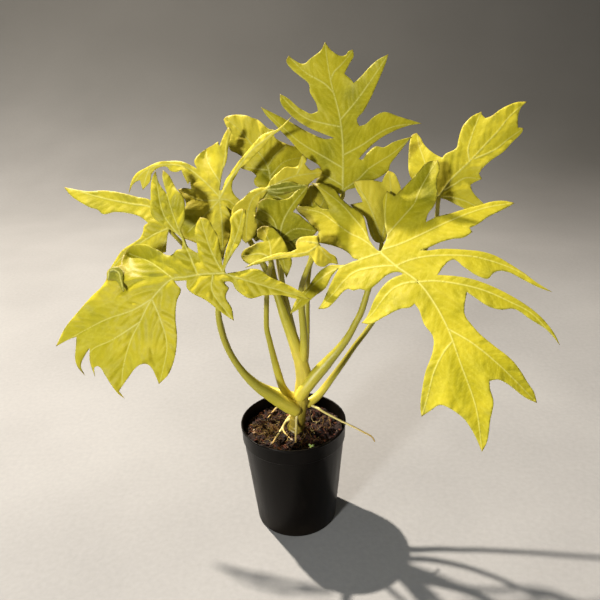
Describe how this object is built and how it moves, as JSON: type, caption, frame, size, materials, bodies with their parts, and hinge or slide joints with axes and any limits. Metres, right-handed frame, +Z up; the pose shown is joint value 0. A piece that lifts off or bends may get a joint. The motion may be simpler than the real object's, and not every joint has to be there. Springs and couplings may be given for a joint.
{
  "type": "potted philodendron",
  "caption": "Potted golden-leaved philodendron: deeply lobed yellow leaves on long stalks fan out from a short rooted stem in a black nursery pot.",
  "frame": {"origin": "middle of the underside of the pot, on the surface it stands on", "axes": "+Z up, +X to the right and -Y towards the viewer of the picture"},
  "size_m": [0.5284, 0.3078, 0.5281],
  "materials": {
    "pot_plastic": "smooth black injection-moulded plastic, slightly dusty",
    "potting_mix": "damp bark and coir chips",
    "stem": "smooth pale green-yellow living stem with leaf scars and pale aerial roots",
    "leaf_stalk": "smooth olive-yellow living leaf stalk",
    "leaf_blade": "thin satin golden-yellow living leaf, light shows through"
  },
  "bodies": {
    "root": {"pot": "pot_plastic", "soil": "potting_mix", "stem": "stem", "stalk_front_right": "leaf_stalk", "stalk_top": "leaf_stalk", "stalk_back_right": "leaf_stalk", "stalk_front_left": "leaf_stalk", "stalk_far_left": "leaf_stalk", "stalk_upper_left": "leaf_stalk", "stalk_back_centre": "leaf_stalk", "stalk_centre_upper": "leaf_stalk", "stalk_centre_dark": "leaf_stalk", "stalk_centre_low": "leaf_stalk", "stalk_centre_front": "leaf_stalk", "stalk_inner_right": "leaf_stalk", "blade_front_right": "leaf_blade", "blade_top": "leaf_blade", "blade_back_right": "leaf_blade", "blade_front_left": "leaf_blade", "blade_far_left": "leaf_blade", "blade_upper_left": "leaf_blade", "blade_back_centre": "leaf_blade", "blade_centre_upper": "leaf_blade", "blade_centre_dark": "leaf_blade", "blade_centre_low": "leaf_blade", "blade_centre_front": "leaf_blade", "blade_inner_right": "leaf_blade"}
  },
  "joints": []
}
